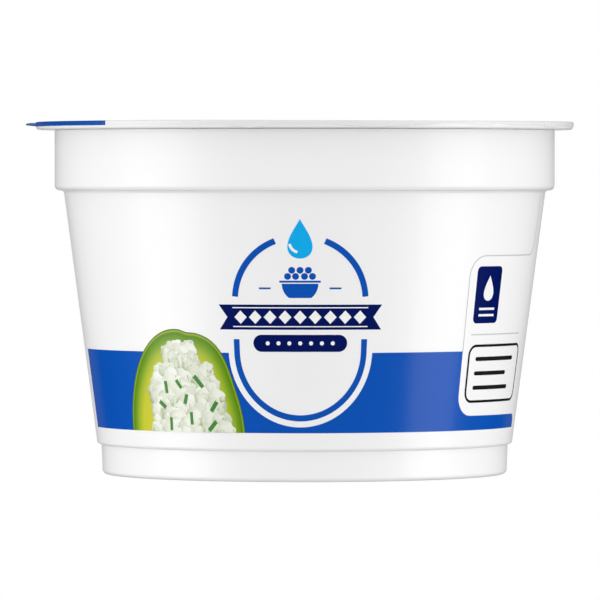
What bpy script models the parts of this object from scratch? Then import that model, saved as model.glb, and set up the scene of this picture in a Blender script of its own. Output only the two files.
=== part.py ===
"""A shut dairy tub: a round, injection-moulded plastic tub with a sealed film lid.

The tub is filled and sealed, so it is one solid body with nothing modelled inside. Its axis
is +Z, it stands on its base ring at z = 0, and its printed front faces -Y. Round the body an
azimuth is measured from the front, positive towards +X.
"""

import math

import bmesh
import bpy
from mathutils import Vector

MM = 0.001

# Driving dimensions of the tub, from the base up.
BASE_RING_HEIGHT = 0.5 * MM
BASE_RING_WIDTH = 2.2 * MM
BASE_CORNER = 0.8 * MM
FOOT_HEIGHT = 5.35 * MM
FOOT_LEDGE = 0.73 * MM
FOOT_CORNER = 0.5 * MM
FOOT_FILLET = 0.2 * MM
BASE_DRAFT = math.radians(2.0)

COLLAR_BOTTOM = 50.1 * MM
BODY_TOP_RADIUS = 42.64 * MM
BODY_DRAFT = math.radians(7.56)
COLLAR_RADIUS = 44.25 * MM
COLLAR_CORNER = 0.9 * MM

FLANGE_BOTTOM = 60.75 * MM
FLANGE_TOP = 61.95 * MM
FLANGE_RADIUS = 47.5 * MM
FLANGE_CORNER = 0.35 * MM
ROOT_FILLET = 0.35 * MM

# The film lid lies on the flange and turns down over its edge.
LID_TOP = 62.3 * MM
LID_RADIUS = 47.85 * MM
LID_THICKNESS = 0.2 * MM
LID_BEND = 0.45 * MM
LID_BEND_DROP = 0.405 * MM
SEAL_RADIUS = 45.2 * MM
SKIRT_DROP = 0.85 * MM

# Where the turned-down edge puckers: azimuth, extra drop, half width.
PUCKERS = (
    (-160, 0.35 * MM, 8),
    (-11.5, 0.6 * MM, 6),
    (14.5, 0.45 * MM, 11),
    (32, -0.35 * MM, 7),
    (45, -0.2 * MM, 4),
    (64.5, 0.4 * MM, 6),
    (98, 0.3 * MM, 9),
    (131, 0.5 * MM, 7),
    (166, -0.25 * MM, 8),
)

# The pull tab is a round-ended ear of the same film.
TAB_AZIMUTH = -115
TAB_RADIUS = 8 * MM
TAB_CENTRE = 46.7 * MM
TAB_DROP = 0.45 * MM
TAB_FLARE = 2.5

TUB_SIDES = 96
LID_SIDES = 144
ARC_STEPS = 3
MERGE_DISTANCE = 0.01 * MM

WHITE_PLASTIC = (0.86, 0.86, 0.86, 1)
WHITE_FILM = (0.88, 0.88, 0.88, 1)


def clear_scene():
    for obj in list(bpy.data.objects):
        bpy.data.objects.remove(obj, do_unlink=True)


def new_collection(name):
    collection = bpy.data.collections.new(name)
    bpy.context.scene.collection.children.link(collection)
    return collection


def plastic(name, colour, roughness):
    material = bpy.data.materials.new(name)
    material.use_nodes = True
    shader = material.node_tree.nodes["Principled BSDF"]
    shader.inputs["Base Color"].default_value = colour
    shader.inputs["Roughness"].default_value = roughness
    shader.inputs["Metallic"].default_value = 0
    return material


def arc_round(corner, before, after, radius):
    """Points of the arc that rounds a corner between two straight runs of a profile."""
    if radius == 0:
        return [corner]
    to_before = (before - corner).normalized()
    to_after = (after - corner).normalized()
    half_angle = to_before.angle(to_after) / 2
    centre = corner + (to_before + to_after).normalized() * radius / math.sin(half_angle)
    first = corner + to_before * radius / math.tan(half_angle) - centre
    last = corner + to_after * radius / math.tan(half_angle) - centre
    turn = first.angle_signed(last)
    points = []
    for step in range(ARC_STEPS + 1):
        angle = -turn * step / ARC_STEPS
        cos, sin = math.cos(angle), math.sin(angle)
        points.append(centre + Vector((first.x * cos - first.y * sin, first.x * sin + first.y * cos)))
    return points


def rounded_profile(corners):
    """The profile through (radius, height, corner radius) triples, with each corner rounded."""
    places = [Vector(corner[:2]) for corner in corners]
    points = [places[0]]
    for index in range(1, len(corners) - 1):
        points += arc_round(places[index], places[index - 1], places[index + 1], corners[index][2])
    return points + [places[-1]]


def tub_corners():
    """Corners of the tub's outer side, from the axis at the top to the axis at the bottom."""
    body_foot_radius = BODY_TOP_RADIUS - (COLLAR_BOTTOM - FOOT_HEIGHT) * math.tan(BODY_DRAFT)
    base_top_radius = body_foot_radius - FOOT_LEDGE
    base_foot_radius = base_top_radius - FOOT_HEIGHT * math.tan(BASE_DRAFT)
    ring_inside = base_foot_radius - BASE_CORNER - BASE_RING_WIDTH
    return (
        (0, FLANGE_TOP, 0),
        (FLANGE_RADIUS, FLANGE_TOP, FLANGE_CORNER),
        (FLANGE_RADIUS, FLANGE_BOTTOM, FLANGE_CORNER),
        (COLLAR_RADIUS, FLANGE_BOTTOM, ROOT_FILLET),
        (COLLAR_RADIUS, COLLAR_BOTTOM, COLLAR_CORNER),
        (BODY_TOP_RADIUS, COLLAR_BOTTOM, ROOT_FILLET),
        (body_foot_radius, FOOT_HEIGHT, FOOT_CORNER),
        (base_top_radius, FOOT_HEIGHT, FOOT_FILLET),
        (base_foot_radius, 0, BASE_CORNER),
        (ring_inside, 0, 0),
        (ring_inside - BASE_RING_HEIGHT, BASE_RING_HEIGHT, 0),
        (0, BASE_RING_HEIGHT, 0),
    )


def add_tub(collection):
    """The tub: one profile turned round the axis."""
    points = rounded_profile(tub_corners())
    mesh = bpy.data.meshes.new("tub")
    edges = [(index, index + 1) for index in range(len(points) - 1)]
    mesh.from_pydata([(point.x, 0, point.y) for point in points], edges, [])
    tub = bpy.data.objects.new("tub", mesh)
    collection.objects.link(tub)
    mesh.materials.append(plastic("white moulded plastic", WHITE_PLASTIC, 0.35))
    turn = tub.modifiers.new("turn", "SCREW")
    turn.axis = "Z"
    turn.angle = 2 * math.pi
    turn.steps = TUB_SIDES
    turn.render_steps = TUB_SIDES
    turn.use_merge_vertices = True
    turn.merge_threshold = MERGE_DISTANCE
    turn.use_smooth_shade = True


def bump(offset, half_width):
    """A smooth hump, 1 at the middle and 0 from half_width on."""
    if abs(offset) >= half_width:
        return 0
    return math.cos(math.pi / 2 * offset / half_width) ** 2


def turn_between(azimuth, middle):
    """Degrees from middle to azimuth, the short way round."""
    return (azimuth - middle + 180) % 360 - 180


def skirt_edge(azimuth):
    """Radius and height of the lid's turned-down edge."""
    drop = SKIRT_DROP
    for middle, extra, half_width in PUCKERS:
        drop += extra * bump(turn_between(azimuth, middle), half_width)
    return LID_RADIUS, LID_TOP - drop


def tab_edge(azimuth):
    """Radius and height of the pull tab's edge, or None where there is no tab."""
    offset = math.radians(turn_between(azimuth, TAB_AZIMUTH))
    across = TAB_CENTRE * math.sin(offset)
    if abs(offset) > math.pi / 2 or abs(across) >= TAB_RADIUS:
        return None
    reach = TAB_CENTRE * math.cos(offset) + math.sqrt(TAB_RADIUS**2 - across**2)
    if reach <= LID_RADIUS:
        return None
    return reach, LID_TOP - TAB_DROP


def lid_edge(azimuth):
    """The lid's edge: the tab, the skirt, or the flare of the skirt beside the tab."""
    tab = tab_edge(azimuth)
    if tab:
        return tab
    half_tab = math.degrees(math.asin(TAB_RADIUS / TAB_CENTRE))
    radius, height = skirt_edge(azimuth)
    beside = abs(turn_between(azimuth, TAB_AZIMUTH)) - half_tab
    flare = bump(max(beside, 0), TAB_FLARE)
    return radius, height + (LID_TOP - TAB_DROP - height) * flare


def lid_rings():
    """Rings from the seal out to the edge, each a function from azimuth to radius and height."""
    bend_middle = LID_BEND * (1 - math.sqrt(0.5))
    return (
        lambda azimuth: (LID_RADIUS - LID_BEND, LID_TOP),
        lambda azimuth: (LID_RADIUS - bend_middle, LID_TOP - bend_middle),
        lambda azimuth: (LID_RADIUS, LID_TOP - LID_BEND_DROP),
        lid_edge,
    )


def add_lid(collection):
    """The film lid: a disc whose rim is drawn out ring by ring, given its thickness inwards."""
    shape = bmesh.new()
    bmesh.ops.create_circle(shape, cap_ends=True, cap_tris=True, radius=SEAL_RADIUS, segments=LID_SIDES)
    bmesh.ops.translate(shape, vec=(0, 0, LID_TOP), verts=shape.verts)
    for ring in lid_rings():
        border = [edge for edge in shape.edges if edge.is_boundary]
        drawn = bmesh.ops.extrude_edge_only(shape, edges=border)["geom"]
        for vert in (item for item in drawn if isinstance(item, bmesh.types.BMVert)):
            azimuth = math.atan2(vert.co.x, -vert.co.y)
            radius, height = ring(math.degrees(azimuth))
            vert.co = (radius * math.sin(azimuth), -radius * math.cos(azimuth), height)
    bmesh.ops.triangulate(shape, faces=shape.faces)
    bmesh.ops.recalc_face_normals(shape, faces=shape.faces)
    mesh = bpy.data.meshes.new("lid")
    shape.to_mesh(mesh)
    shape.free()
    if mesh.polygons[0].normal.z < 0:
        mesh.flip_normals()
    mesh.shade_smooth()
    mesh.materials.append(plastic("white sealing film", WHITE_FILM, 0.3))
    lid = bpy.data.objects.new("lid", mesh)
    collection.objects.link(lid)
    film = lid.modifiers.new("film", "SOLIDIFY")
    film.thickness = LID_THICKNESS
    film.offset = -1
    film.use_even_offset = True


def main():
    clear_scene()
    collection = new_collection("sealed dairy tub")
    add_tub(collection)
    add_lid(collection)


main()
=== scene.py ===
"""The looks of a shut dairy tub: a moulded tub, its printed label, and a sealed film lid.

The tub stands on z = 0 with its axis on +Z and its printed front towards -Y. An azimuth is
measured round the axis from the front, in degrees, positive towards +X.
"""

import math
import random

import bmesh
import bpy
from mathutils import Matrix, Vector


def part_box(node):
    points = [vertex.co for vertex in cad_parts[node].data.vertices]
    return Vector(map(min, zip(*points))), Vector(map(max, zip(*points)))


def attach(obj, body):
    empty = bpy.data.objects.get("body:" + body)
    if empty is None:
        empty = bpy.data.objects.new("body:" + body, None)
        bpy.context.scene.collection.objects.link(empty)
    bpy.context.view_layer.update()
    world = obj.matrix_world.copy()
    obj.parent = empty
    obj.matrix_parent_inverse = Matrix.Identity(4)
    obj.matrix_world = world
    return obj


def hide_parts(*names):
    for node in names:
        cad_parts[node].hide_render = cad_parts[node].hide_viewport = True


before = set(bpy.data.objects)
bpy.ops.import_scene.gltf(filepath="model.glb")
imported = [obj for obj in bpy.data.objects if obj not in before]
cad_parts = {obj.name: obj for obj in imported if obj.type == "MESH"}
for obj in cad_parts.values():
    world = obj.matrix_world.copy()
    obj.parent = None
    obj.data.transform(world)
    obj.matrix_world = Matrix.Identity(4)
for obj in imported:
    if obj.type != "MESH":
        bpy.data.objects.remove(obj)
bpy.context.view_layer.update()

MM = 0.001

TUB_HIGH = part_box("tub")[1]
LID_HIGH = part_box("lid")[1]

# How near two points count as one, when a mesh is joined, cut or searched for a ring.
WELD = 0.001 * MM
CUT_SNAP = 0.0001 * MM
RING_SEARCH = 0.01 * MM

# How finely corners are rounded, which edges stay sharp, how much a face's area counts for in
# the shading, and how far the mitre of a printed line may reach.
CORNER_SEGMENTS = 6
SHARP_ANGLE = math.radians(40)
FACE_AREA_WEIGHT = 100
MITRE_LIMIT = 0.3

# The camera: where the picture's middle lies on the tub's axis plane, and how wide it is there.
FRAME_WIDTH = 106.27 * MM
FRAME_MIDDLE = Vector((-0.82, 0, 30.7)) * MM
CAMERA_DISTANCE = 1151 * MM
CAMERA_HEIGHT = 51.1 * MM
SENSOR_WIDTH = 36
FAR_CLIP = 20

# The tub, from the base up.
BASE_RING_HEIGHT = 0.5 * MM
BASE_RING_WIDTH = 2.2 * MM
BASE_CORNER = 0.8 * MM
BASE_DRAFT = math.radians(2.0)
FOOT_HEIGHT = 5.35 * MM
FOOT_LEDGE = 0.73 * MM
FOOT_CORNER = 0.5 * MM
FOOT_FILLET = 0.2 * MM
BODY_TOP = 50.1 * MM
BODY_TOP_RADIUS = 42.64 * MM
BODY_DRAFT = math.radians(7.56)
COLLAR_RADIUS = 44.25 * MM
COLLAR_CORNER = 0.9 * MM
FLANGE_BOTTOM = 60.82 * MM
FLANGE_TOP = TUB_HIGH.z
FLANGE_RADIUS = TUB_HIGH.x
FLANGE_CORNER = 0.35 * MM
FLANGE_UNDER_CORNER = 0.45 * MM

# A fine groove where the collar meets the flange draws the dark line under the flange.
GROOVE_DEPTH = 0.5 * MM
GROOVE_HEIGHT = 0.13 * MM
GROOVE_CORNER = 0.06 * MM

# The collar's root on the body, the hollow under the film, and the gate's dimple in the base.
ROOT_FILLET = 0.5 * MM
HEADSPACE = 0.7 * MM
MOUTH_CORNER = 0.2 * MM
BASE_RING_CORNER = 0.15 * MM
GATE_RADIUS = 1.4 * MM
GATE_HEIGHT = 0.15 * MM
TUB_SIDES = 256

# The film lid lies on the flange, sags a little unevenly over the hollow, is pressed down where
# it is sealed, and its edge is turned down over the flange's.
LID_TOP = LID_HIGH.z - 0.11 * MM
LID_RADIUS = 47.64 * MM
LID_BEND = 0.25 * MM
FILM = 0.12 * MM
LID_SAG = 0.2 * MM
SAG_UNEVEN = 0.25
SAG_AZIMUTH = -20
SEAL_INSIDE = 43.6 * MM
SEAL_OUTSIDE = 46.9 * MM
SEAL_DEPTH = 0.06 * MM
SKIRT_DROP = 0.81 * MM
LID_SIDES = 480

# Radii of the lid's rings in millimetres, closest where the film is sealed, and the number of
# rings down its edge, where the bend takes up the first part.
LID_RINGS = (2, 5, 10, 16, 22, 28, 33, 37, 40, 42, 43,
             43.6, 44, 44.4, 45, 45.6, 46, 46.4, 46.8, 47.1)
EDGE_RINGS = 15
BEND_PART = 0.4

# Where the turned-down edge puckers: azimuth, extra drop, half width. It also waves a little.
PUCKERS = (
    (-160, 0.35 * MM, 8),
    (-11.5, 0.6 * MM, 6),
    (14.5, 0.45 * MM, 11),
    (32, -0.35 * MM, 7),
    (45, -0.2 * MM, 4),
    (64.5, 0.4 * MM, 6),
    (98, 0.3 * MM, 9),
    (131, 0.5 * MM, 7),
    (166, -0.25 * MM, 8),
)
EDGE_WAVE = 0.05 * MM
EDGE_WAVES = 7

# The lid lies a little lower over one side of the flange.
SINK_AZIMUTH = 25
SINK_HALF_WIDTH = 60
SINK = 0.14 * MM

# The pull tab is a round-ended ear of the lid. It rises a little towards its end, but its near
# side is tilted down, and the lid's edge flares up to it over a few degrees.
TAB_AZIMUTH = -115
TAB_RADIUS = 7.92 * MM
TAB_CENTRE = 46.65 * MM
TAB_RISE = 0.1 * MM
TAB_TILT = 0.68 * MM
TAB_FLARE = 2.5

# The lid's blue field ends on a straight edge, this far from the axis towards the tab.
LID_FIELD = 17.14 * MM

# The surfaces: typical indices of refraction of the two plastics, and how rough each is.
POLYPROPYLENE_IOR = 1.49
POLYESTER_IOR = 1.57
MOULDED_ROUGHNESS = 0.22
LABEL_ROUGHNESS = 0.2
FILM_ROUGHNESS = 0.27

# Their patterns. Real orange peel is about 1 mm across, ink mottle 0.1 mm and embossed dots
# 0.6 mm. All three are too fine for the render, so they are drawn as coarse as it can show.
PEEL_GRAIN = 2.2 * MM
PEEL_DEPTH = 0.004 * MM
MOTTLE_GRAIN = 0.5 * MM
MOTTLE_TONES = (0.93, 1.07)
DOT_PITCH = 1.3 * MM
DOT_DEPTH = 0.03 * MM
DOT_CROWN = 0.15
DOT_FOOT = 0.35

# The label is drawn flat. A millimetre across it is a millimetre round this radius. Ink is sunk
# in the wall, and each layer of it stands out a little over the one below. A drawing is cut in
# strips as wide as the tub's facets, or in cells on the lid, to bend with what it lies on.
LABEL_RADIUS = 40 * MM
FACET = 2 * math.pi / TUB_SIDES * LABEL_RADIUS
INK = 0.05 * MM
INK_SUNK = 0.03 * MM
INK_LAYER = 0.02 * MM
LID_CELL = 2 * MM

# The blue band goes this many degrees to each side of the front, and of the back.
BAND_BOTTOM = 8.5 * MM
BAND_TOP = 22.3 * MM
BAND_END = 78.4

# The room's light from straight below and straight above, where 1 is as bright as white paper.
ROOM_BELOW = 0.36
ROOM_ABOVE = 1.08

# The lights face a point on the tub's axis. Each has an azimuth, a distance from the axis, a
# height, a width, an upright length and a brightness, in degrees and metres. The cards show in
# the gloss alone, and the fills don't show in it.
LIGHTS_AIM = Vector((0, 0, 0.03))
GLOSS_CARDS = (
    ("right card", 72, 0.7, -0.07, 0.37, 0.36, 0.88),
    ("left card", -68, 0.7, -0.07, 0.48, 0.36, 0.88),
    ("back card", 180, 0.7, -0.03, 0.3, 0.5, 0.4),
    ("wide back card", 180, 0.72, -0.03, 1.2, 0.5, 0.1),
)
FILLS = (
    ("side fill", -75, 0.7, -0.07, 0.5, 0.3, 4.4),
    ("side fill", 75, 0.7, -0.07, 0.5, 0.3, 4.4),
    ("front fill", 0, 1.3, 0.25, 1.0, 0.5, 1.15),
    ("front fill", 180, 1.3, 0.25, 1.0, 0.5, 1.15),
)

# The floor's half width in metres, and how far it lies under the tub.
FLOOR_REACH = 3
FLOOR_DROP = 0.05 * MM


def linear(code):
    """Linear red, green, blue and alpha of an sRGB hex value."""
    channels = [int(code[place:place + 2], 16) / 255 for place in (0, 2, 4)]
    return [c / 12.92 if c <= 0.04045 else ((c + 0.055) / 1.055) ** 2.4 for c in channels] + [1]


def add_node(tree, kind, inputs=(), **settings):
    """Adds a node, and sets or links its inputs."""
    node = tree.nodes.new(kind)
    for name, value in settings.items():
        setattr(node, name, value)
    for name, value in dict(inputs).items():
        if isinstance(value, bpy.types.NodeSocket):
            tree.links.new(value, node.inputs[name])
        else:
            node.inputs[name].default_value = value
    return node


def new_material(name, colour, roughness, ior):
    """A plastic's material, its nodes and its shader."""
    material = bpy.data.materials.new(name)
    material.use_nodes = True
    tree = material.node_tree
    shader = tree.nodes["Principled BSDF"]
    shader.inputs["Base Color"].default_value = linear(colour)
    shader.inputs["Roughness"].default_value = roughness
    shader.inputs["IOR"].default_value = ior
    return material, tree, shader


def add_orange_peel(tree, shader):
    """The faint uneven gloss of moulded plastic and of a film stretched over it."""
    place = add_node(tree, "ShaderNodeTexCoord")
    peel = add_node(tree, "ShaderNodeTexNoise",
                    {"Vector": place.outputs["Object"], "Scale": 1 / PEEL_GRAIN, "Detail": 1})
    relief = add_node(tree, "ShaderNodeBump", {"Distance": PEEL_DEPTH, "Height": peel.outputs["Fac"]})
    tree.links.new(relief.outputs["Normal"], shader.inputs["Normal"])


def moulded_polypropylene():
    """Polypropylene, injection moulded: a plain opaque white with broad soft highlights.

    The orange peel makes a highlight's edge waver a little, as on thin moulded walls.
    """
    material, tree, shader = new_material("polypropylene moulded white", "F2F2F2", MOULDED_ROUGHNESS,
                                          POLYPROPYLENE_IOR)
    add_orange_peel(tree, shader)
    return material


def printed_label(name, colour):
    """Polypropylene label film, printed and moulded in: solid ink, as glossy as the tub.

    The mottle keeps a wide field of ink from looking like an even fill.
    """
    material, tree, shader = new_material("printed label film " + name, colour, LABEL_ROUGHNESS,
                                          POLYPROPYLENE_IOR)
    place = add_node(tree, "ShaderNodeTexCoord")
    mottle = add_node(tree, "ShaderNodeTexNoise",
                      {"Vector": place.outputs["Object"], "Scale": 1 / MOTTLE_GRAIN, "Detail": 2})
    tone = add_node(tree, "ShaderNodeMapRange",
                    {"Value": mottle.outputs["Fac"], "To Min": MOTTLE_TONES[0],
                     "To Max": MOTTLE_TONES[1]})
    ink = add_node(tree, "ShaderNodeHueSaturation",
                   {"Color": linear(colour), "Value": tone.outputs["Result"]})
    tree.links.new(ink.outputs["Color"], shader.inputs["Base Color"])
    add_orange_peel(tree, shader)
    return material


def printed_picture(name, attribute, stops):
    """The same label film printed in many tones, which follow an attribute of the drawing.

    The tones run into each other, so the food looks round while its gloss stays flat.
    """
    material, tree, shader = new_material("printed label film " + name, "FFFFFF", LABEL_ROUGHNESS,
                                          POLYPROPYLENE_IOR)
    tone = add_node(tree, "ShaderNodeAttribute", attribute_name=attribute)
    colours = add_node(tree, "ShaderNodeValToRGB", {"Fac": tone.outputs["Fac"]})
    elements = colours.color_ramp.elements
    for number, (place, code) in enumerate(stops):
        element = elements[number] if number < 2 else elements.new(place)
        element.position = place
        element.color = linear(code)
    tree.links.new(colours.outputs["Color"], shader.inputs["Base Color"])
    add_orange_peel(tree, shader)
    return material


def lid_film(name, colour):
    """Polyester film, lacquered and embossed: a satin sheet, a little greyer than the tub.

    Its regular dots catch the light one by one when the lid is seen from above.
    """
    material, tree, shader = new_material("polyester lid film " + name, colour, FILM_ROUGHNESS,
                                          POLYESTER_IOR)
    place = add_node(tree, "ShaderNodeTexCoord")
    dots = add_node(tree, "ShaderNodeTexVoronoi",
                    {"Vector": place.outputs["Object"], "Scale": 1 / DOT_PITCH, "Randomness": 0},
                    voronoi_dimensions="2D")
    dome = add_node(tree, "ShaderNodeMapRange",
                    {"Value": dots.outputs["Distance"], "From Min": DOT_CROWN, "From Max": DOT_FOOT,
                     "To Min": 1, "To Max": 0}, interpolation_type="SMOOTHSTEP")
    relief = add_node(tree, "ShaderNodeBump", {"Distance": DOT_DEPTH, "Height": dome.outputs["Result"]})
    tree.links.new(relief.outputs["Normal"], shader.inputs["Normal"])
    return material


def add_piece(name, shape, *materials):
    """Makes a finished shape an object that rides with the tub."""
    mesh = bpy.data.meshes.new(name)
    shape.to_mesh(mesh)
    shape.free()
    mesh.shade_smooth()
    mesh.set_sharp_from_angle(angle=SHARP_ANGLE)
    for material in materials:
        mesh.materials.append(material)
    piece = bpy.data.objects.new(name, mesh)
    bpy.context.scene.collection.objects.link(piece)
    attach(piece, "root")
    return piece


def body_radius(height):
    """Radius of the tapered body at a height."""
    return BODY_TOP_RADIUS - (BODY_TOP - height) * math.tan(BODY_DRAFT)


def bump(offset, half_width):
    """A smooth hump, 1 at the middle and 0 from half_width on."""
    if abs(offset) >= half_width:
        return 0
    return math.cos(math.pi / 2 * offset / half_width) ** 2


def turn_between(azimuth, middle):
    """Degrees from middle to azimuth, the short way round."""
    return (azimuth - middle + 180) % 360 - 180


def on_turn(radius, azimuth, height):
    """The point at an azimuth in radians."""
    return Vector((radius * math.sin(azimuth), -radius * math.cos(azimuth), height))


def tub_corners():
    """Radius, height and rounding of each corner, from the axis at the top to the axis below."""
    base_top = body_radius(FOOT_HEIGHT) - FOOT_LEDGE
    base_foot = base_top - FOOT_HEIGHT * math.tan(BASE_DRAFT)
    ring_inside = base_foot - BASE_CORNER - BASE_RING_WIDTH
    return (
        (0, FLANGE_TOP - HEADSPACE, 0),
        (SEAL_INSIDE - HEADSPACE, FLANGE_TOP - HEADSPACE, 0),
        (SEAL_INSIDE, FLANGE_TOP, MOUTH_CORNER),
        (FLANGE_RADIUS, FLANGE_TOP, FLANGE_CORNER),
        (FLANGE_RADIUS, FLANGE_BOTTOM, FLANGE_UNDER_CORNER),
        (COLLAR_RADIUS - GROOVE_DEPTH, FLANGE_BOTTOM, 0),
        (COLLAR_RADIUS - GROOVE_DEPTH, FLANGE_BOTTOM - GROOVE_HEIGHT, 0),
        (COLLAR_RADIUS, FLANGE_BOTTOM - GROOVE_HEIGHT, GROOVE_CORNER),
        (COLLAR_RADIUS, BODY_TOP, COLLAR_CORNER),
        (BODY_TOP_RADIUS, BODY_TOP, ROOT_FILLET),
        (body_radius(FOOT_HEIGHT), FOOT_HEIGHT, FOOT_CORNER),
        (base_top, FOOT_HEIGHT, FOOT_FILLET),
        (base_foot, 0, BASE_CORNER),
        (ring_inside, 0, BASE_RING_CORNER),
        (ring_inside - BASE_RING_HEIGHT, BASE_RING_HEIGHT, BASE_RING_CORNER),
        (GATE_RADIUS + GATE_HEIGHT, BASE_RING_HEIGHT, 0),
        (GATE_RADIUS, BASE_RING_HEIGHT - GATE_HEIGHT, 0),
        (0, BASE_RING_HEIGHT - GATE_HEIGHT, 0),
    )


def turned(corners, sides):
    """A solid turned about the axis, with each corner ring rounded."""
    shape = bmesh.new()
    verts = [shape.verts.new((radius, 0, height)) for radius, height, _ in corners]
    edges = [shape.edges.new(ends) for ends in zip(verts, verts[1:])]
    bmesh.ops.spin(shape, geom=verts + edges, cent=(0, 0, 0), axis=(0, 0, 1),
                   angle=2 * math.pi, steps=sides, use_merge=True)
    bmesh.ops.remove_doubles(shape, verts=shape.verts, dist=WELD)
    bmesh.ops.recalc_face_normals(shape, faces=shape.faces)
    for radius, height, rounding in corners:
        if not rounding:
            continue
        place = Vector((radius, height))
        ring = [edge for edge in shape.edges
                if all((Vector((vert.co.xy.length, vert.co.z)) - place).length < RING_SEARCH
                       for vert in edge.verts)]
        bmesh.ops.bevel(shape, geom=ring, offset=rounding, offset_type="OFFSET",
                        segments=CORNER_SEGMENTS, profile=0.5, affect="EDGES", material=-1)
    return shape


def add_tub():
    """The moulded tub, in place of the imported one."""
    tub = add_piece("moulded_tub", turned(tub_corners(), TUB_SIDES), moulded_polypropylene())
    even = tub.modifiers.new("even shading", "WEIGHTED_NORMAL")
    even.weight = FACE_AREA_WEIGHT
    even.keep_sharp = True
    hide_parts("tub")


def film_height(radius, azimuth):
    """Height of the lid's top where it lies over the tub, at an azimuth in degrees."""
    sunk = SINK * bump(turn_between(azimuth, SINK_AZIMUTH), SINK_HALF_WIDTH)
    inside = max(0, 1 - (radius / SEAL_INSIDE) ** 2)
    wave = math.cos(math.radians(2 * (azimuth - SAG_AZIMUTH)))
    uneven = 1 + SAG_UNEVEN * wave * radius / SEAL_INSIDE
    sealed = SEAL_DEPTH * bump(radius - (SEAL_INSIDE + SEAL_OUTSIDE) / 2,
                               (SEAL_OUTSIDE - SEAL_INSIDE) / 2)
    return LID_TOP - sunk * (radius / LID_RADIUS) ** 4 - LID_SAG * inside * uneven - sealed


def skirt_foot(azimuth):
    """Height of the lid's turned-down edge."""
    drop = SKIRT_DROP
    for middle, extra, half_width in PUCKERS:
        drop += extra * bump(turn_between(azimuth, middle), half_width)
    return LID_TOP - drop


def tab_height(across, along):
    """Height on the pull tab, whose near side is bent down with the lid's edge."""
    return LID_TOP + min(TAB_RISE, TAB_RISE - TAB_TILT * across) * along


def tab_reach(azimuth):
    """How far out the pull tab reaches, and how far across it this azimuth is, or None beside it."""
    offset = math.radians(turn_between(azimuth, TAB_AZIMUTH))
    across = TAB_CENTRE * math.sin(offset)
    if abs(offset) > math.pi / 2 or abs(across) >= TAB_RADIUS:
        return None
    reach = TAB_CENTRE * math.cos(offset) + math.sqrt(TAB_RADIUS**2 - across**2)
    return (reach, across / TAB_RADIUS) if reach > LID_RADIUS else None


def turned_down(azimuth, along):
    """Radius and height on the lid's edge, from 0 where it bends to 1 at its foot."""
    top = film_height(LID_RADIUS, azimuth)
    foot = skirt_foot(azimuth)
    wave = EDGE_WAVE * math.sin(math.radians(EDGE_WAVES * azimuth)) * along
    if along < BEND_PART:
        turn = along / BEND_PART * math.pi / 2
        return LID_RADIUS - LID_BEND * (1 - math.sin(turn)), top - LID_BEND * (1 - math.cos(turn))
    down = (along - BEND_PART) / (1 - BEND_PART)
    start = top - LID_BEND
    foot = min(foot, start - FILM)
    return LID_RADIUS - abs(wave), start + (foot - start) * down


def straight_out(azimuth, along):
    """Radius and height on the pull tab, from 0 at the lid's bend to 1 at the tab's edge."""
    reach, across = tab_reach(azimuth)
    start = LID_RADIUS - LID_BEND
    return start + (reach - start) * along, tab_height(across, along)


def lid_edge(azimuth, along):
    """The lid's edge: the tab, the turned-down edge, or the flare that joins them."""
    if tab_reach(azimuth):
        return straight_out(azimuth, along)
    half_tab = math.degrees(math.asin(TAB_RADIUS / TAB_CENTRE))
    offset = turn_between(azimuth, TAB_AZIMUTH)
    flare = bump(max(abs(offset) - half_tab, 0), TAB_FLARE)
    radius, height = turned_down(azimuth, along)
    flared = tab_height(math.copysign(1, offset), along)
    return radius, height + (flared - height) * flare


def draw_out(shape, ring):
    """Draws the lid's border out to a ring, given as a function of azimuth."""
    border = [edge for edge in shape.edges if edge.is_boundary]
    drawn = bmesh.ops.extrude_edge_only(shape, edges=border)["geom"]
    for vert in (item for item in drawn if isinstance(item, bmesh.types.BMVert)):
        azimuth = math.atan2(vert.co.x, -vert.co.y)
        radius, height = ring(math.degrees(azimuth))
        vert.co = on_turn(radius, azimuth, height)


def lid_shape():
    """The lid's film: a disc drawn out ring by ring over the seal and down the edge."""
    shape = bmesh.new()
    bmesh.ops.create_circle(shape, cap_ends=True, cap_tris=True, radius=LID_RINGS[0] * MM,
                            segments=LID_SIDES)
    for vert in shape.verts:
        vert.co.z = film_height(vert.co.xy.length, 0)
    for radius in LID_RINGS[1:]:
        draw_out(shape, lambda azimuth: (radius * MM, film_height(radius * MM, azimuth)))
    for step in range(EDGE_RINGS):
        draw_out(shape, lambda azimuth: lid_edge(azimuth, step / (EDGE_RINGS - 1)))
    return shape


def print_lid_field(shape):
    """Gives the blue material to the lid's faces on the tab's side of a straight edge."""
    towards_tab = on_turn(1, math.radians(TAB_AZIMUTH), 0)
    bmesh.ops.bisect_plane(shape, geom=shape.verts[:] + shape.edges[:] + shape.faces[:],
                           dist=CUT_SNAP, plane_co=towards_tab * LID_FIELD, plane_no=towards_tab)
    for face in shape.faces:
        in_field = face.calc_center_median().dot(towards_tab) > LID_FIELD
        face.material_index = 1 if in_field else 0


def add_lid():
    """The film lid, blue on its field and white elsewhere and below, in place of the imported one."""
    shape = lid_shape()
    bmesh.ops.recalc_face_normals(shape, faces=shape.faces)
    if sum(face.normal.z for face in shape.faces) < 0:
        bmesh.ops.reverse_faces(shape, faces=shape.faces)
    print_lid_field(shape)
    white = lid_film("lacquered white", "E6E6E6")
    blue = lid_film("printed blue", "054CA4")
    lid = add_piece("film_lid", shape, white, blue, white, white)
    film = lid.modifiers.new("film", "SOLIDIFY")
    film.thickness = FILM
    film.offset = -1
    film.material_offset = 2
    film.material_offset_rim = 0
    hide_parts("lid")


def across(azimuth):
    """Where an azimuth in degrees falls across the flat label."""
    return math.radians(azimuth) * LABEL_RADIUS


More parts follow.
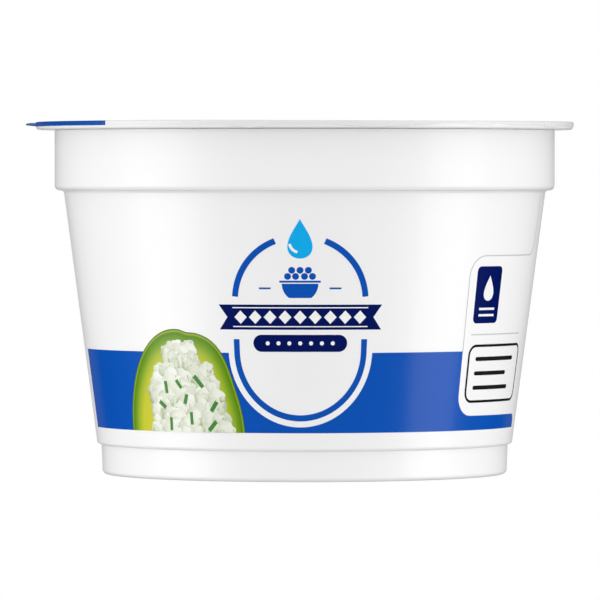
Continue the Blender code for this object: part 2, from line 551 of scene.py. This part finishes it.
def arc(middle, radius, start, end, steps=24):
    """Points of an arc between two angles in degrees, anticlockwise from the right."""
    angles = [math.radians(start + (end - start) * step / steps) for step in range(steps + 1)]
    return [Vector(middle) + radius * Vector((math.cos(a), math.sin(a))) for a in angles]


def disc(middle, radius, sides):
    """Points of a whole circle."""
    return arc(middle, radius, 0, 360 * (sides - 1) / sides, steps=sides - 1)


def rounded(corners, steps=6):
    """Points of a closed outline through (x, y, rounding) corners."""
    points = []
    for before, corner, after in zip(corners[-1:] + corners, corners, corners[1:] + corners[:1]):
        place = Vector(corner[:2])
        if not corner[2]:
            points.append(place)
            continue
        to_before = (Vector(before[:2]) - place).normalized()
        to_after = (Vector(after[:2]) - place).normalized()
        half = to_before.angle(to_after) / 2
        middle = place + (to_before + to_after).normalized() * corner[2] / math.sin(half)
        first = place + to_before * corner[2] / math.tan(half) - middle
        last = place + to_after * corner[2] / math.tan(half) - middle
        turn = first.angle_signed(last)
        points += [middle + Matrix.Rotation(-turn * step / steps, 2) @ first
                   for step in range(steps + 1)]
    return points


def block(left, bottom, right, top, rounding=0):
    """Corners of an upright oblong."""
    return [(left, bottom, rounding), (right, bottom, rounding),
            (right, top, rounding), (left, top, rounding)]


def add_field(shape, points):
    """Draws a filled outline on the flat label."""
    verts = [shape.verts.new((point[0], point[1], 0)) for point in points]
    return shape.faces.new(verts)


def add_line(shape, points, width, closed=False):
    """Draws a line of even width on the flat label, mitred where it turns."""
    count = len(points)
    side = []
    for number, point in enumerate(points):
        before = points[number - 1] if closed or number else point
        after = points[(number + 1) % count] if closed or number < count - 1 else point
        along = (point - before).normalized() + (after - point).normalized()
        normal = along.orthogonal().normalized()
        leg = (after - point if (after - point).length else point - before).normalized()
        side.append(normal / max(MITRE_LIMIT, normal.dot(leg.orthogonal())))
    first = [shape.verts.new((*(point + half * width / 2), 0)) for point, half in zip(points, side)]
    other = [shape.verts.new((*(point - half * width / 2), 0)) for point, half in zip(points, side)]
    for number in range(count if closed else count - 1):
        after = (number + 1) % count
        shape.faces.new((first[number], other[number], other[after], first[after]))


def cut_in_strips(shape, axis, width):
    """Cuts a flat drawing across one axis, so that it can bend."""
    normal = Vector((axis == 0, axis == 1, 0))
    low = min(vert.co[axis] for vert in shape.verts)
    high = max(vert.co[axis] for vert in shape.verts)
    for number in range(math.floor(low / width) + 1, math.ceil(high / width)):
        bmesh.ops.bisect_plane(shape, geom=shape.verts[:] + shape.edges[:] + shape.faces[:],
                               dist=CUT_SNAP, plane_co=normal * number * width, plane_no=normal)


def thicken(shape, layer):
    """Gives a flat drawing the thickness of ink, and lifts it over the layers below."""
    drawn = bmesh.ops.extrude_face_region(shape, geom=shape.faces)["geom"]
    raised = [item for item in drawn if isinstance(item, bmesh.types.BMVert)]
    bmesh.ops.translate(shape, vec=(0, 0, INK), verts=raised)
    bmesh.ops.recalc_face_normals(shape, faces=shape.faces)
    bmesh.ops.translate(shape, vec=(0, 0, INK_LAYER * (layer - 1) - INK_SUNK), verts=shape.verts)


def fill_faces(shape):
    """Cuts the outlines of a flat drawing into triangles."""
    shape.normal_update()
    bmesh.ops.triangulate(shape, faces=shape.faces, ngon_method="EAR_CLIP")


def print_on_tub(name, shape, material, layer=1):
    """Bends a flat drawing round the body."""
    fill_faces(shape)
    cut_in_strips(shape, 0, FACET)
    thicken(shape, layer)
    for vert in shape.verts:
        vert.co = on_turn(body_radius(vert.co.y) + vert.co.z, vert.co.x / LABEL_RADIUS, vert.co.y)
    add_piece(name, shape, material)


def print_on_lid(name, shape, material, layer=1):
    """Lays a flat drawing on the lid."""
    fill_faces(shape)
    for axis in (0, 1):
        cut_in_strips(shape, axis, LID_CELL)
    thicken(shape, layer)
    for vert in shape.verts:
        azimuth = math.degrees(math.atan2(vert.co.x, -vert.co.y))
        vert.co.z += film_height(vert.co.xy.length, azimuth)
    add_piece(name, shape, material)


# The emblem on the front stands in a gap cut from the band. Its ring is a half round about the
# low centre and two arcs about the high one, with breaks between them and at the top.
EMBLEM = across(-1.15)
RING_LOW = 22.35 * MM
RING_HIGH = 31.0 * MM
RING_LINE = 1.05 * MM
RING_RADIUS = 11.29 * MM
GAP_RADIUS = 12.85 * MM
RING_BREAK_LOW = 24.66 * MM
RING_BREAK_HIGH = 31.97 * MM
RING_TOP_GAP = 4.17 * MM

# The dashes beside the bowl, the drop with its streak, and the bowl. The bowl's curds are placed
# in millimetres across and over its rim.
DASH_NEAR = 5.0 * MM
DASH_FAR = 7.03 * MM
DASH_HEIGHT = 33.4 * MM
DASH_LINE = 0.3 * MM
DROP_BOTTOM = 38.5 * MM
DROP_HEIGHT = 6.8 * MM
DROP_WIDTH = 0.86
DROP_TAPER = 1.4
STREAK_HEIGHT = 41.3 * MM
STREAK_RADIUS = 1.75 * MM
STREAK_LINE = 0.45 * MM
BOWL_RADIUS = 3.1 * MM
BOWL_BOTTOM = 31.75 * MM
BOWL_RIM = 34.2 * MM
BOWL_LIP = 3.5 * MM
BOWL_LIP_LIFT = 0.35 * MM
BOWL_LIP_LINE = 0.34 * MM
BOWL_CURD = 0.58 * MM
BOWL_CURDS = ((-2.1, 1.25), (-0.75, 1.25), (0.75, 1.25), (2.1, 1.25),
              (-1.4, 2.3), (0.0, 2.3), (1.4, 2.3))

# The ribbon with its inlines and lozenges, and the round-ended bar with its dots.
RIBBON = 28.45 * MM
RIBBON_REACH = 14.3 * MM
RIBBON_HALF = 2.15 * MM
RIBBON_FORK = 1.5 * MM
INLINE_REACH = 11.8 * MM
INLINE_OFFSET = 1.62 * MM
INLINE = 0.18 * MM
LOZENGE_PITCH = 2.6 * MM
LOZENGE_HALF_WIDTH = 1.1 * MM
LOZENGE_HALF_HEIGHT = 1.15 * MM
BAR_REACH = 8.26 * MM
BAR_BOTTOM = 22.5 * MM
BAR_TOP = 25.43 * MM
BAR_CORNER = 1.45 * MM
BAR_DOT_PITCH = 1.9 * MM
BAR_DOT_HEIGHT = 23.97 * MM
BAR_DOT = 0.36 * MM

# The emblem is printed on the lid too, larger.
LID_EMBLEM = on_turn(8.5 * MM, math.radians(TAB_AZIMUTH + 180), 0)
LID_EMBLEM_SCALE = 1.3

# The clear panel at the label's right. Its outline runs on up the label's edge.
PANEL_LEFT = across(44.55)
PANEL_RIGHT = across(76.6)
PANEL_BOTTOM = 11.06 * MM
PANEL_TOP = 38.84 * MM
PANEL_CORNER = 3.6 * MM
PANEL_RIGHT_CORNER = 2.6 * MM
PANEL_FOOT_LIFT = 0.15 * MM
PANEL_FOOT_CORNER = 1.7 * MM
OUTLINE_RIGHT = across(77.1)
OUTLINE_TOP = 49.4 * MM
THIN_LINE = 0.2 * MM

# In the panel from the top: a block with a drop and two lines, a rule, and a box of three bars.
BLOCK_LEFT = across(47.2)
BLOCK_RIGHT = across(57.3)
BLOCK_BOTTOM = 27.1 * MM
BLOCK_TOP = 37.0 * MM
BLOCK_CORNER = 0.9 * MM
BLOCK_DROP_BOTTOM = 31.0 * MM
BLOCK_DROP_HEIGHT = 4.4 * MM
BLOCK_LINE_HEIGHTS = (29.6 * MM, 28.5 * MM)
BLOCK_LINE_REACH = 2.2 * MM
BLOCK_LINE = 0.4 * MM
RULE_RIGHT = across(72.7)
RULE_HEIGHT = 25.15 * MM
BOX_LEFT = across(47.05)
BOX_RIGHT = across(74.2)
BOX_BOTTOM = 13.5 * MM
BOX_TOP = 23.2 * MM
BOX_CORNER = 1.7 * MM
BOX_LINE = 0.45 * MM
BOX_INSET = 1.9 * MM
BOX_BARS = ((20.9 * MM, 0.9), (18.4 * MM, 0.72), (15.9 * MM, 0.82))
BOX_BAR_HALF = 0.36 * MM
BOX_BAR_CORNER = 0.34 * MM

# The outlined panel at the back, with its ruled lines and a bar over them.
BACK = across(180)
BACK_REACH = across(38)
BACK_BOTTOM = 25.3 * MM
BACK_TOP = 45 * MM
BACK_CORNER = 2.4 * MM
BACK_INSET = 3 * MM
BACK_LINES = 6
BACK_LINES_BOTTOM = 28.2 * MM
BACK_LINES_PITCH = 2.5 * MM
BACK_LINE = 0.16 * MM
BACK_BAR_END = 4 * MM
BACK_BAR_BOTTOM = 42.0 * MM
BACK_BAR_TOP = 43.4 * MM
BACK_BAR_CORNER = 0.4 * MM


def add_band(blue):
    """The blue band: round the emblem's gap and under the clear panel, and plain at the back."""
    shape = bmesh.new()
    end = across(BAND_END)
    gap = arc((EMBLEM, RING_LOW), GAP_RADIUS, 0, -180, steps=48)
    front = [Vector((-end, BAND_BOTTOM)), Vector((end, BAND_BOTTOM))]
    front += rounded([(end, BAND_BOTTOM, 0),
                      (end, PANEL_BOTTOM - PANEL_FOOT_LIFT, PANEL_FOOT_CORNER),
                      (PANEL_LEFT, PANEL_BOTTOM, PANEL_CORNER), (PANEL_LEFT, BAND_TOP, 0)])[1:]
    front += [Vector((EMBLEM + GAP_RADIUS, BAND_TOP))] + gap[1:-1]
    front += [Vector((EMBLEM - GAP_RADIUS, BAND_TOP)), Vector((-end, BAND_TOP))]
    add_field(shape, front)
    add_field(shape, rounded(block(BACK - end, BAND_BOTTOM, BACK + end, BAND_TOP)))
    print_on_tub("label_band", shape, blue)


def draw_ring(shape):
    """The ring: a half round below, two arcs above, and a dash at each side of the bowl."""
    low = (EMBLEM, RING_LOW)
    high = (EMBLEM, RING_HIGH)
    out = Vector((RING_RADIUS, 0))
    break_low = Vector((EMBLEM, RING_BREAK_LOW))
    start = math.degrees(math.asin((RING_BREAK_HIGH - RING_HIGH) / RING_RADIUS))
    stop = math.degrees(math.acos(RING_TOP_GAP / RING_RADIUS))
    half_round = arc(low, RING_RADIUS, 180, 360, steps=60)
    add_line(shape, [break_low - out] + half_round + [break_low + out], RING_LINE)
    add_line(shape, arc(high, RING_RADIUS, start, stop), RING_LINE)
    add_line(shape, arc(high, RING_RADIUS, 180 - stop, 180 - start), RING_LINE)
    for side in (-1, 1):
        near = EMBLEM + side * DASH_NEAR
        far = EMBLEM + side * DASH_FAR
        add_line(shape, [Vector((near, DASH_HEIGHT)), Vector((far, DASH_HEIGHT))], DASH_LINE)


def drop_outline(middle, bottom, height, steps=40):
    """A drop that stands on its round end."""
    half = height / 2
    points = []
    for step in range(steps):
        turn = 2 * math.pi * step / steps
        narrow = math.sin(turn / 2) ** DROP_TAPER
        points.append(Vector((middle - half * DROP_WIDTH * math.sin(turn) * narrow,
                              bottom + half + half * math.cos(turn))))
    return points


def draw_drop(shape):
    """The large drop at the emblem's top."""
    add_field(shape, drop_outline(EMBLEM, DROP_BOTTOM, DROP_HEIGHT))


def draw_streak(shape):
    """A light streak down the side of the drop."""
    add_line(shape, arc((EMBLEM, STREAK_HEIGHT), STREAK_RADIUS, 190, 255, steps=12), STREAK_LINE)


def draw_bowl(shape):
    """A small bowl heaped with curds."""
    bowl = arc((EMBLEM, BOWL_RIM), BOWL_RADIUS, 180, 360, steps=28)
    add_field(shape, [Vector((point.x, max(point.y, BOWL_BOTTOM))) for point in bowl])
    lip = BOWL_RIM + BOWL_LIP_LIFT
    add_line(shape, [Vector((EMBLEM - BOWL_LIP, lip)), Vector((EMBLEM + BOWL_LIP, lip))],
             BOWL_LIP_LINE)
    for x, y in BOWL_CURDS:
        middle = Vector((EMBLEM + x * MM, BOWL_RIM + y * MM))
        add_field(shape, disc(middle, BOWL_CURD, sides=20))


def draw_ribbon(shape):
    """The ribbon across the emblem, with forked ends, and a round-ended bar under it."""
    left, right = EMBLEM - RIBBON_REACH, EMBLEM + RIBBON_REACH
    bottom, top = RIBBON - RIBBON_HALF, RIBBON + RIBBON_HALF
    add_field(shape, [(left, bottom), (right, bottom), (right - RIBBON_FORK, RIBBON),
                      (right, top), (left, top), (left + RIBBON_FORK, RIBBON)])
    add_field(shape, rounded(block(EMBLEM - BAR_REACH, BAR_BOTTOM, EMBLEM + BAR_REACH, BAR_TOP,
                                   BAR_CORNER)))


def draw_ribbon_trim(shape):
    """The ribbon's inlines and lozenges, and the bar's dots."""
    for height in (RIBBON - INLINE_OFFSET, RIBBON + INLINE_OFFSET):
        add_line(shape, [Vector((EMBLEM - INLINE_REACH, height)),
                         Vector((EMBLEM + INLINE_REACH, height))], INLINE)
    for number in range(-4, 5):
        x = EMBLEM + number * LOZENGE_PITCH
        add_field(shape, [(x - LOZENGE_HALF_WIDTH, RIBBON), (x, RIBBON - LOZENGE_HALF_HEIGHT),
                          (x + LOZENGE_HALF_WIDTH, RIBBON), (x, RIBBON + LOZENGE_HALF_HEIGHT)])
    for number in range(-3, 4):
        middle = (EMBLEM + number * BAR_DOT_PITCH, BAR_DOT_HEIGHT)
        add_field(shape, disc(middle, BAR_DOT, sides=12))


def add_emblem(blue, navy, cyan, white):
    """The emblem's layers, on the body and on the lid."""
    middle = Vector((EMBLEM, RIBBON, 0))
    for name, draw, ink, layer in (
        ("ring", draw_ring, blue, 1), ("bowl", draw_bowl, blue, 1), ("drop", draw_drop, cyan, 1),
        ("streak", draw_streak, white, 2), ("ribbon", draw_ribbon, navy, 1),
        ("ribbon_trim", draw_ribbon_trim, white, 2),
    ):
        shape = bmesh.new()
        draw(shape)
        print_on_tub("emblem_" + name, shape, ink, layer)
        shape = bmesh.new()
        draw(shape)
        bmesh.ops.translate(shape, vec=-middle, verts=shape.verts)
        bmesh.ops.scale(shape, vec=(LID_EMBLEM_SCALE, LID_EMBLEM_SCALE, 1), verts=shape.verts)
        bmesh.ops.translate(shape, vec=LID_EMBLEM, verts=shape.verts)
        print_on_lid("lid_emblem_" + name, shape, ink, layer)


def add_panel(grey, navy, black, white):
    """The clear panel: a thin outline, a navy block, a rule and an outlined box of bars."""
    shape = bmesh.new()
    outline = rounded([(PANEL_LEFT, BAND_TOP, 0), (PANEL_LEFT, PANEL_TOP, PANEL_CORNER),
                       (PANEL_RIGHT, PANEL_TOP, PANEL_RIGHT_CORNER),
                       (OUTLINE_RIGHT, OUTLINE_TOP, 0)])
    add_line(shape, outline, THIN_LINE)
    add_line(shape, [Vector((BOX_LEFT, RULE_HEIGHT)), Vector((RULE_RIGHT, RULE_HEIGHT))], THIN_LINE)
    print_on_tub("panel_outline", shape, grey)
    shape = bmesh.new()
    add_field(shape, rounded(block(BLOCK_LEFT, BLOCK_BOTTOM, BLOCK_RIGHT, BLOCK_TOP, BLOCK_CORNER)))
    print_on_tub("panel_block", shape, navy)
    shape = bmesh.new()
    middle = (BLOCK_LEFT + BLOCK_RIGHT) / 2
    add_field(shape, drop_outline(middle, BLOCK_DROP_BOTTOM, BLOCK_DROP_HEIGHT))
    for height in BLOCK_LINE_HEIGHTS:
        add_line(shape, [Vector((middle - BLOCK_LINE_REACH, height)),
                         Vector((middle + BLOCK_LINE_REACH, height))], BLOCK_LINE)
    print_on_tub("panel_block_mark", shape, white, layer=2)
    add_panel_box(black)


def add_panel_box(black):
    """The outlined box, with bars that start at its left and end at different places."""
    shape = bmesh.new()
    outline = rounded(block(BOX_LEFT, BOX_BOTTOM, BOX_RIGHT, BOX_TOP, BOX_CORNER))
    add_line(shape, outline, BOX_LINE, closed=True)
    start = BOX_LEFT + BOX_INSET
    room = BOX_RIGHT - BOX_INSET - start
    for height, filled in BOX_BARS:
        add_field(shape, rounded(block(start, height - BOX_BAR_HALF, start + room * filled,
                                       height + BOX_BAR_HALF, BOX_BAR_CORNER)))
    print_on_tub("panel_box", shape, black)


def add_back_panel(grey, navy):
    """The back of the label: an outlined panel with ruled lines."""
    left, right = BACK - BACK_REACH, BACK + BACK_REACH
    shape = bmesh.new()
    outline = rounded(block(left, BACK_BOTTOM, right, BACK_TOP, BACK_CORNER))
    add_line(shape, outline, THIN_LINE, closed=True)
    for number in range(BACK_LINES):
        height = BACK_LINES_BOTTOM + BACK_LINES_PITCH * number
        add_line(shape, [Vector((left + BACK_INSET, height)), Vector((right - BACK_INSET, height))],
                 BACK_LINE)
    print_on_tub("back_panel_lines", shape, grey)
    shape = bmesh.new()
    add_field(shape, rounded(block(left + BACK_INSET, BACK_BAR_BOTTOM, BACK - BACK_BAR_END,
                                   BACK_BAR_TOP, BACK_BAR_CORNER)))
    print_on_tub("back_panel_bar", shape, navy)


# The picture of the food: a halved fruit that the band cuts off, heaped with curds.
FRUIT = across(-34.6)
FRUIT_BOTTOM = 8.0 * MM
FRUIT_HALF_WIDTH = 13.05 * MM
FRUIT_HEIGHT = 18.3 * MM

# How much narrower the fruit is at its top, where it is fuller than an oval (a direction in
# degrees from the right, a half width and a share), and its colours from the skin to the middle.
FRUIT_TAPER = 0.06
FRUIT_FULLER = ((52, 30, 0.07), (79, 8, -0.012))
FRUIT_COLOURS = ((0, "42681C"), (0.009, "4E7620"), (0.016, "9AAE24"), (0.024, "8AA41C"),
                 (0.036, "52860E"), (0.1, "739C1C"), (0.17, "A0B42A"), (0.26, "C4C52A"),
                 (1, "D2CE34"))

# The heap of curds: height over its foot, and how far it reaches to the left and right.
HEAP = (
    (0 * MM, -7.7 * MM, 12.2 * MM),
    (2.1 * MM, -7.1 * MM, 11.2 * MM),
    (3.4 * MM, -7.5 * MM, 10.4 * MM),
    (5.6 * MM, -7.9 * MM, 10.6 * MM),
    (6.6 * MM, -8.1 * MM, 10.0 * MM),
    (7.2 * MM, -8.0 * MM, 8.8 * MM),
    (10.2 * MM, -6.9 * MM, 8.6 * MM),
    (11.4 * MM, -4.8 * MM, 8.2 * MM),
    (12.4 * MM, -3.2 * MM, 6.2 * MM),
    (13.2 * MM, -3.7 * MM, 4.6 * MM),
    (14.6 * MM, -3.9 * MM, 4.4 * MM),
    (16.6 * MM, -2.2 * MM, 3.3 * MM),
)

# How many curds there are, how much higher each lies than the one before, and the smallest,
# largest and commonest size in millimetres.
CURDS = 210
CURD_SEED = 7
CURD_STACK = 0.0002 * MM
CURD_SIZES = (0.55, 2.0, 1.0)

# Their shades, from 0 to 1: the range of their middles, how much darker the heap's right side
# and a lump's foot are, how much lighter its lit side is, and the gaps between lumps. Then how
# far their outlines wobble.
CURD_TONES = (0.66, 1)
RIGHT_SIDE_SHADE = 0.12
FOOT_SHADE = 0.56
TOP_LIGHT = 0.6
LIGHT_TURN = 0.6
GAP_SHADE = 0.42
GAP_INSET = 0.9 * MM
WOBBLE = 0.12
WOBBLE_CORNERS = (3, 4, 5)
FINE_WOBBLE = 0.05
FINE_WOBBLE_CORNERS = 7
CURD_COLOURS = ((0, "7E8A58"), (0.3, "A9B48C"), (0.58, "CED5BE"), (0.85, "E5E8DA"),
                (1, "EEF0E8"))

# The chives lie in rows, each moved, turned and cut by chance. Heights, half lengths and widths
# are in millimetres, the gap and the shift are shares of the heap's width, the turn is in radians.
CHIVES_SEED = 21
CHIVES_ROWS = 3
CHIVES_IN_ROW = 3
CHIVES_BOTTOM = 2.4
CHIVES_PITCH = 3.2
CHIVES_SPREAD = 0.8
CHIVES_GAP = 0.26
CHIVES_SHIFT = 0.06
CHIVE_HALF_LENGTHS = (0.85, 1.3)
CHIVE_TURN = 0.9
CHIVE_WIDTHS = (0.55, 0.8)


def cut_at_band(shape):
    """Cuts the food picture off at the band's lower edge."""
    bmesh.ops.bisect_plane(shape, geom=shape.verts[:] + shape.edges[:] + shape.faces[:],
                           dist=CUT_SNAP, plane_co=(0, BAND_BOTTOM, 0), plane_no=(0, 1, 0),
                           clear_inner=True)


def add_fruit():
    """The halved fruit: an oval whose tones go by how deep inside its skin they lie."""
    shape = bmesh.new()
    depth = shape.verts.layers.float.new("depth")
    bmesh.ops.create_circle(shape, cap_ends=True, cap_tris=True, radius=1, segments=96)
    for vert in shape.verts:
        vert[depth] = 1 - vert.co.length
        narrow = 1 - FRUIT_TAPER * max(0, vert.co.y)
        angle = math.degrees(math.atan2(vert.co.y, vert.co.x))
        fuller = 1 + sum(extra * bump(angle - middle, half_width)
                         for middle, half_width, extra in FRUIT_FULLER)
        vert.co = (FRUIT + FRUIT_HALF_WIDTH * vert.co.x * narrow * fuller,
                   FRUIT_BOTTOM + FRUIT_HEIGHT * vert.co.y * fuller, 0)
    cut_at_band(shape)
    print_on_tub("fruit_half", shape, printed_picture("halved fruit", "depth", FRUIT_COLOURS),
                 layer=2)


def heap_edges(height):
    """How far the heap reaches to the left and right at a height over its foot."""
    for (low, low_left, low_right), (high, high_left, high_right) in zip(HEAP, HEAP[1:]):
        if height <= high:
            part = (height - low) / (high - low)
            return (low_left + (high_left - low_left) * part,
                    low_right + (high_right - low_right) * part)
    return HEAP[-1][1:]


def add_lump(shape, shade, place, size, lift, tone, draw):
    """One curd: a wobbly round, light above and to the left, and darker towards its foot."""
    phase = draw.uniform(0, 2 * math.pi)
    corners = draw.choice(WOBBLE_CORNERS)
    made = bmesh.ops.create_circle(shape, cap_ends=True, cap_tris=True, radius=1, segments=20)
    for vert in made["verts"]:
        angle = math.atan2(vert.co.y, vert.co.x)
        rim = vert.co.length
        lit = (1 + math.sin(angle + LIGHT_TURN)) / 2
        vert[shade] = tone - rim * (FOOT_SHADE - TOP_LIGHT * lit)
        wobble = WOBBLE * math.sin(corners * angle + phase)
        fine = FINE_WOBBLE * math.sin(FINE_WOBBLE_CORNERS * angle - phase)
        reach = size * rim * (1 + wobble + fine)
        vert.co = (place.x + reach * math.cos(angle), place.y + reach * math.sin(angle), lift)


def curd_places(draw):
    """Middles and sizes of the curds, inside the heap, from the highest to the lowest."""
    places = []
    while len(places) < CURDS:
        size = draw.triangular(*CURD_SIZES) * MM
        height = draw.uniform(0, HEAP[-1][0] - size)
        left, right = heap_edges(height)
        x = draw.uniform(left, right)
        if left + size <= x <= right - size:
            places.append((height, x, size))
    return sorted(places, reverse=True)


def add_curds():
    """A heap of curds: wobbly lumps over their own shade, the lower ones over the upper."""
    draw = random.Random(CURD_SEED)
    shape = bmesh.new()
    shade = shape.verts.layers.float.new("shade")
    outline = [(left + GAP_INSET, height) for height, left, _ in HEAP[:-1]]
    outline += [(right - GAP_INSET, height) for height, _, right in HEAP[-2::-1]]
    field = add_field(shape, [(FRUIT + x, FRUIT_BOTTOM + height) for x, height in outline])
    for vert in field.verts:
        vert[shade] = GAP_SHADE
    for number, (height, x, size) in enumerate(curd_places(draw)):
        tone = draw.uniform(*CURD_TONES) - RIGHT_SIDE_SHADE * max(0, x / HEAP[0][2])
        place = Vector((FRUIT + x, FRUIT_BOTTOM + height))
        add_lump(shape, shade, place, size, number * CURD_STACK, tone, draw)
    cut_at_band(shape)
    print_on_tub("curds", shape, printed_picture("curds", "shade", CURD_COLOURS), layer=3)


def add_chives(green):
    """Short lengths of chive, scattered over the curds."""
    draw = random.Random(CHIVES_SEED)
    shape = bmesh.new()
    for number in range(CHIVES_ROWS * CHIVES_IN_ROW):
        row, column = divmod(number, CHIVES_IN_ROW)
        spread = draw.uniform(-CHIVES_SPREAD, CHIVES_SPREAD)
        height = (CHIVES_BOTTOM + CHIVES_PITCH * row + spread) * MM
        left, right = heap_edges(height)
        part = 0.5 + (column - 1) * CHIVES_GAP + draw.uniform(-CHIVES_SHIFT, CHIVES_SHIFT)
        place = Vector((FRUIT + left + (right - left) * part, FRUIT_BOTTOM + height))
        half = Vector((0, draw.uniform(*CHIVE_HALF_LENGTHS) * MM))
        half.rotate(Matrix.Rotation(draw.uniform(-CHIVE_TURN, CHIVE_TURN), 2))
        add_line(shape, [place - half, place + half], draw.uniform(*CHIVE_WIDTHS) * MM)
    cut_at_band(shape)
    print_on_tub("chives", shape, green, layer=6)


def add_camera():
    """The camera, straight in front of the picture's middle and a little above it."""
    camera = bpy.data.objects.new("camera", bpy.data.cameras.new("camera"))
    bpy.context.scene.collection.objects.link(camera)
    camera.data.sensor_width = SENSOR_WIDTH
    camera.data.lens = SENSOR_WIDTH * CAMERA_DISTANCE / FRAME_WIDTH
    camera.data.clip_end = FAR_CLIP
    camera.location = (FRAME_MIDDLE.x, -CAMERA_DISTANCE, CAMERA_HEIGHT)
    aim = FRAME_MIDDLE - camera.location
    camera.rotation_euler = aim.to_track_quat("-Z", "Y").to_euler()
    bpy.context.scene.camera = camera


def add_panel_light(name, azimuth, distance, height, width, tall, brightness):
    """An area light that faces the tub. Brightness 1 is as bright as white paper."""
    light = bpy.data.lights.new(name, "AREA")
    light.shape = "RECTANGLE"
    light.size = width
    light.size_y = tall
    light.energy = brightness * math.pi * width * tall
    panel = bpy.data.objects.new(name, light)
    bpy.context.scene.collection.objects.link(panel)
    panel.location = on_turn(distance, math.radians(azimuth), height)
    aim = LIGHTS_AIM - panel.location
    panel.rotation_euler = aim.to_track_quat("-Z", "Y").to_euler()
    panel.visible_camera = False
    return panel


def add_lights():
    """The cards that the gloss mirrors, and the fills that light the plastic."""
    for placing in GLOSS_CARDS:
        add_panel_light(*placing).visible_diffuse = False
    for placing in FILLS:
        add_panel_light(*placing).visible_glossy = False


def add_world():
    """A white room, which doesn't show in the gloss."""
    world = bpy.data.worlds.new("studio")
    bpy.context.scene.world = world
    world.use_nodes = True
    tree = world.node_tree
    tree.nodes.clear()
    rays = add_node(tree, "ShaderNodeLightPath")
    backdrop = add_node(tree, "ShaderNodeBackground", {"Color": (1, 1, 1, 1), "Strength": 1})
    place = add_node(tree, "ShaderNodeTexCoord")
    height = add_node(tree, "ShaderNodeSeparateXYZ", {0: place.outputs["Generated"]})
    level = add_node(tree, "ShaderNodeMapRange", {"Value": height.outputs["Z"], "From Min": -1,
                                                  "To Min": ROOM_BELOW, "To Max": ROOM_ABOVE})
    fill = add_node(tree, "ShaderNodeBackground", {"Color": (1, 1, 1, 1),
                                                   "Strength": level.outputs["Result"]})
    seen = add_node(tree, "ShaderNodeMixShader", {0: rays.outputs["Is Camera Ray"],
                                                  1: fill.outputs[0], 2: backdrop.outputs[0]})
    add_node(tree, "ShaderNodeOutputWorld", {"Surface": seen.outputs[0]})
    world.cycles_visibility.glossy = False


def add_floor():
    """A sheet of lit white acrylic, which the camera alone sees."""
    shape = bmesh.new()
    bmesh.ops.create_grid(shape, x_segments=1, y_segments=1, size=FLOOR_REACH)
    bmesh.ops.translate(shape, vec=(0, 0, -FLOOR_DROP), verts=shape.verts)
    mesh = bpy.data.meshes.new("floor")
    shape.to_mesh(mesh)
    shape.free()
    material = bpy.data.materials.new("acrylic sheet lit from below")
    material.use_nodes = True
    tree = material.node_tree
    tree.nodes.clear()
    glow = add_node(tree, "ShaderNodeEmission", {"Color": (1, 1, 1, 1), "Strength": 1})
    add_node(tree, "ShaderNodeOutputMaterial", {"Surface": glow.outputs[0]})
    mesh.materials.append(material)
    floor = bpy.data.objects.new("floor", mesh)
    bpy.context.scene.collection.objects.link(floor)
    floor.visible_diffuse = False
    floor.visible_glossy = False
    floor.visible_shadow = False


def add_label():
    """The printed label and the print on the lid, ink by ink."""
    blue = printed_label("blue", "0050B3")
    navy = printed_label("navy", "00125A")
    cyan = printed_label("cyan", "00AAEB")
    white = printed_label("white", "F2F2F2")
    grey = printed_label("grey", "C4C5C7")
    black = printed_label("black", "1C1C1E")
    green = printed_label("chive green", "3C822D")
    add_band(blue)
    add_emblem(blue, navy, cyan, white)
    add_panel(grey, navy, black, white)
    add_back_panel(grey, navy)
    add_fruit()
    add_curds()
    add_chives(green)


bpy.context.scene.view_settings.view_transform = "Standard"
add_camera()
add_world()
add_floor()
add_lights()
add_tub()
add_lid()
add_label()
